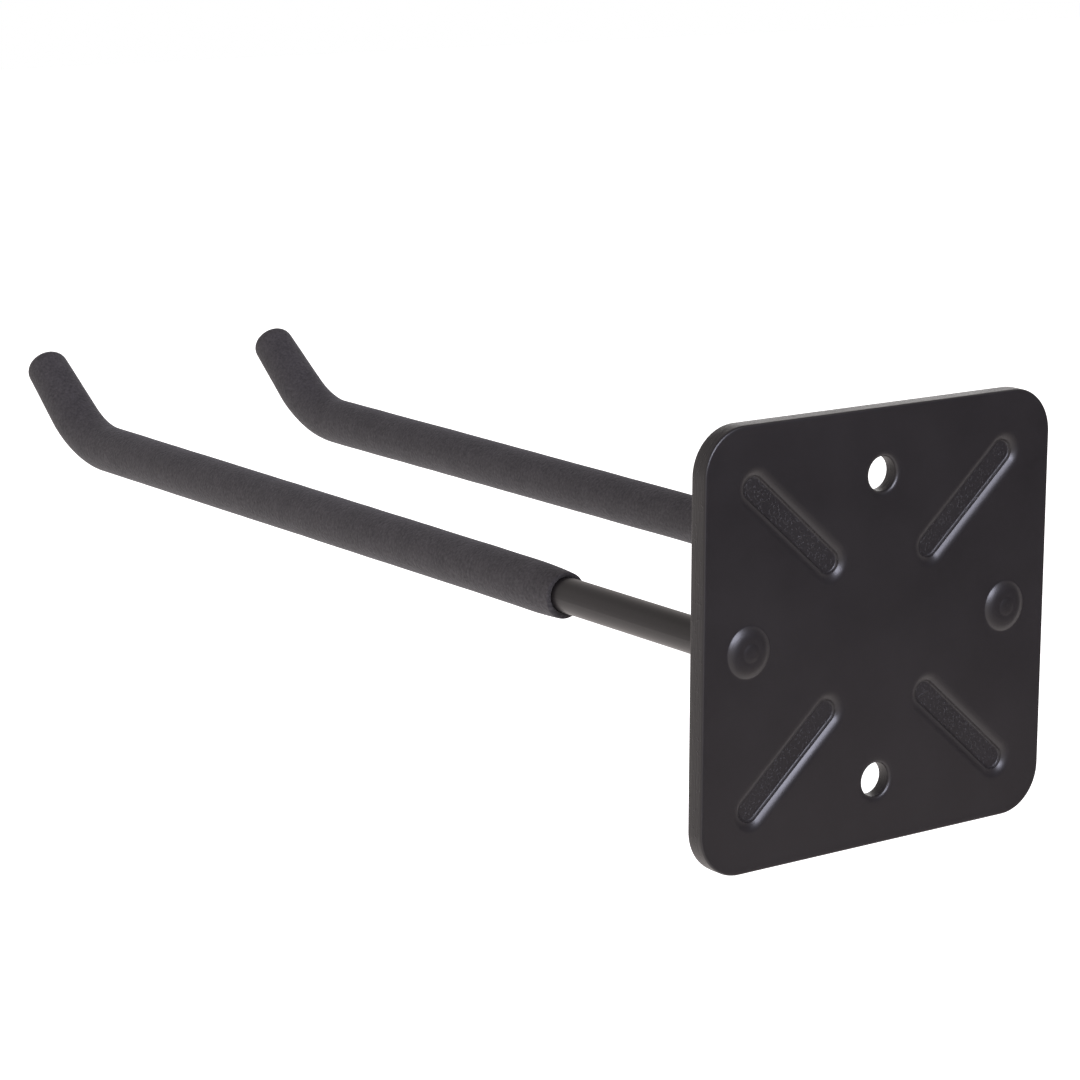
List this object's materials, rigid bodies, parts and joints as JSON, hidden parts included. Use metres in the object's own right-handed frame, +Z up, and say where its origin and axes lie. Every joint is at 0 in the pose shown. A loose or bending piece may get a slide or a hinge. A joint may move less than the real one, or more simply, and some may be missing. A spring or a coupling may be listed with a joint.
{
  "type": "bicycle wall rack",
  "caption": "Wall rack that carries a bicycle by its top tube: square ribbed wall plate, parallel steel arms with upturned ends and foam sleeves.",
  "frame": {"origin": "centre of the plate's wall face, midway between the two screw holes", "axes": "+Y into the wall, +Z up, arms run along -Y, left arm on +X"},
  "size_m": [0.12, 0.3891, 0.12],
  "materials": {
    "plate_black": "satin black powder coat on steel plate",
    "bar_black": "satin black powder coat on round steel bar",
    "foam_black": "matte black closed-cell rubber foam"
  },
  "bodies": {
    "root": {"wall_plate": "plate_black", "left_arm": "bar_black", "right_arm": "bar_black", "left_foam_sleeve": "foam_black", "right_foam_sleeve": "foam_black", "left_weld": "plate_black", "right_weld": "plate_black"}
  },
  "joints": []
}
